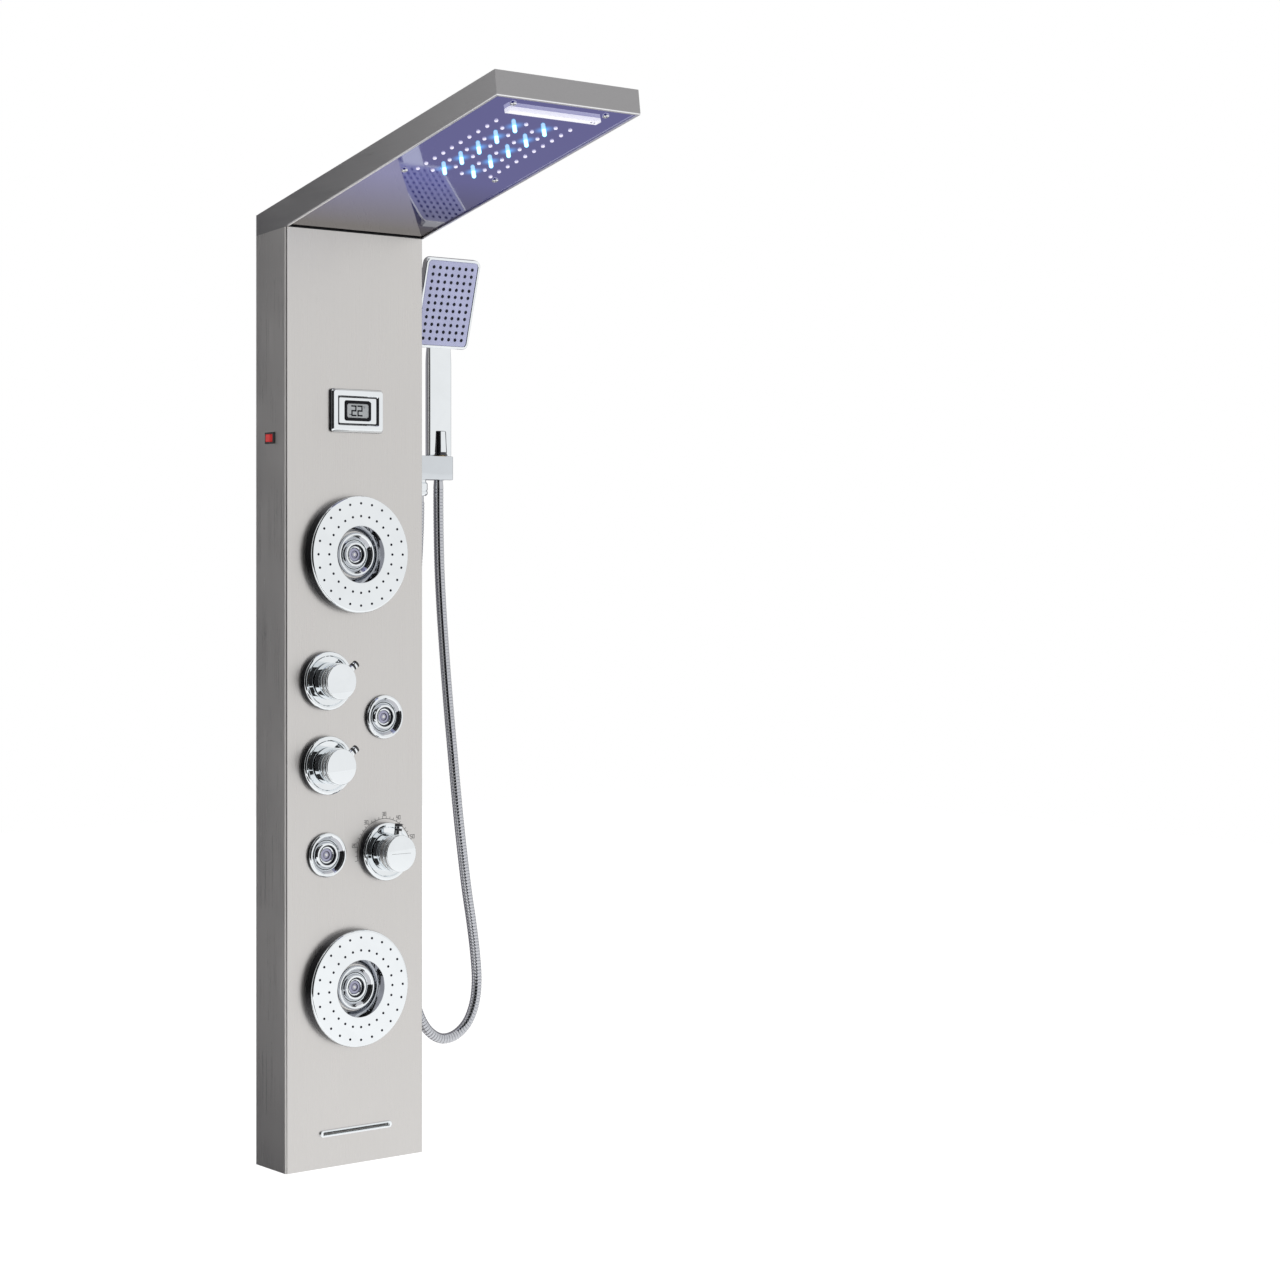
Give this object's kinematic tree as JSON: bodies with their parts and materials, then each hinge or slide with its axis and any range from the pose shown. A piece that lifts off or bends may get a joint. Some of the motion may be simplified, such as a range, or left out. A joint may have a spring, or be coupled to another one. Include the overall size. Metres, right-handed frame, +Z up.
{
  "type": "shower panel column",
  "caption": "Wall-mounted brushed steel shower column with a sloping rain hood, body jets, two diverter knobs, a mixer knob, a tub spout and a hand shower on a hose.",
  "frame": {"origin": "centre of the four wall screw holes, on the wall plane, at half the height of the column front", "axes": "+X right as seen from the front, +Y into the wall, +Z up the column"},
  "size_m": [0.3483, 0.52, 1.368],
  "materials": {
    "panel_steel": "brushed",
    "hood_steel": "brushed",
    "mirror_steel": "polished",
    "chrome": "polished",
    "zinc": "satin",
    "brass": "satin",
    "copper": "satin",
    "black_plastic": "matte",
    "black_glass": "gloss",
    "white_plastic": "gloss",
    "grey_rubber": "matte",
    "clear_rubber": "satin",
    "lamp": "gloss",
    "board_green": "matte",
    "face_plastic": "satin",
    "red_plastic": "gloss",
    "hose_metal": "polished",
    "zinc_screw": "satin"
  },
  "bodies": {
    "panel": {"column_shell": "panel_steel", "bottom_cap": "hood_steel", "hood_shell": "hood_steel", "hood_plate": "mirror_steel", "hood_screws": "zinc_screw", "rain_nozzles": "clear_rubber", "rain_chamber": "white_plastic", "led_lenses": "lamp", "led_board": "board_green", "waterfall_spout": "chrome", "display_frame": "chrome", "display_window": "black_glass", "display_module": "black_plastic", "switch_frame": "black_plastic", "shower_plates": "chrome", "shower_chambers": "grey_rubber", "jet_trims": "chrome", "jet_bodies": "black_plastic", "jet_nuts": "white_plastic", "diverter_flanges": "chrome", "mixer_flange": "chrome", "upper_diverter": "brass", "lower_diverter": "brass", "mixer_valve": "brass", "valve_nuts": "zinc", "supply_pipes": "copper", "riser_pipes": "copper", "jet_pipes": "copper", "spout_pipe": "copper", "outlet_pipe": "copper", "spout_trim": "chrome", "spout_body": "white_plastic", "wall_brackets": "zinc", "bracket_screws": "zinc_screw", "holder_block": "chrome", "holder_nut": "zinc", "outlet_nipple": "chrome", "outlet_nut": "chrome", "shower_hose": "hose_metal", "hydro_generator": "black_plastic", "led_cables": "black_plastic"},
    "upper_handle": {"upper_knob": "chrome", "upper_knob_pin": "white_plastic", "upper_spindle": "brass"},
    "lower_handle": {"lower_knob": "chrome", "lower_knob_pin": "white_plastic", "lower_spindle": "brass"},
    "mixer_handle": {"mixer_knob": "chrome", "mixer_knob_pin": "white_plastic", "mixer_spindle": "brass"},
    "upper_shower_eye": {"upper_shower_ball": "chrome"},
    "right_jet_eye": {"right_jet_ball": "chrome"},
    "left_jet_eye": {"left_jet_ball": "chrome"},
    "lower_shower_eye": {"lower_shower_ball": "chrome"},
    "switch_key": {"rocker_key": "red_plastic"},
    "hose_end": {"hose_cone_nut": "chrome"},
    "handset": {"handset_body": "chrome", "handset_thread": "brass", "handset_face": "face_plastic", "handset_nozzles": "grey_rubber"}
  },
  "joints": [
    {"name": "upper_diverter_turn", "type": "hinge", "parent": "panel", "child": "upper_handle", "pos_m": [-0.048, -0.072, 0.024], "axis": [0, -1, 0], "range_deg": [-90, 90]},
    {"name": "lower_diverter_turn", "type": "hinge", "parent": "panel", "child": "lower_handle", "pos_m": [-0.048, -0.072, -0.087], "axis": [0, -1, 0], "range_deg": [-90, 90]},
    {"name": "mixer_turn", "type": "hinge", "parent": "panel", "child": "mixer_handle", "pos_m": [0.046, -0.072, -0.206], "axis": [0, -1, 0], "range_deg": [-99, 106]},
    {"name": "upper_shower_eye_tilt", "type": "hinge", "parent": "panel", "child": "upper_shower_eye", "pos_m": [-0.002, -0.05998, 0.19], "axis": [1, 0, 0], "range_deg": [-12, 12]},
    {"name": "right_jet_eye_tilt", "type": "hinge", "parent": "panel", "child": "right_jet_eye", "pos_m": [0.045, -0.05998, -0.0265], "axis": [1, 0, 0], "range_deg": [-12, 12]},
    {"name": "left_jet_eye_tilt", "type": "hinge", "parent": "panel", "child": "left_jet_eye", "pos_m": [-0.047, -0.05998, -0.205], "axis": [1, 0, 0], "range_deg": [-12, 12]},
    {"name": "lower_shower_eye_tilt", "type": "hinge", "parent": "panel", "child": "lower_shower_eye", "pos_m": [-0.002, -0.05998, -0.383], "axis": [1, 0, 0], "range_deg": [-12, 12]},
    {"name": "rocker_tilt", "type": "hinge", "parent": "panel", "child": "switch_key", "pos_m": [-0.11, -0.0345, 0.3425], "axis": [0, 0, 1], "range_deg": [-18, 0]},
    {"name": "handset_lift", "type": "slide", "parent": "panel", "child": "hose_end", "axis": [0, 0, 1], "range_m": [0, 0.045]},
    {"name": "handset_swivel", "type": "hinge", "parent": "hose_end", "child": "handset", "pos_m": [0.1625, -0.036, 0.325], "axis": [0, 0, 1], "range_deg": [-5, 40]}
  ]
}
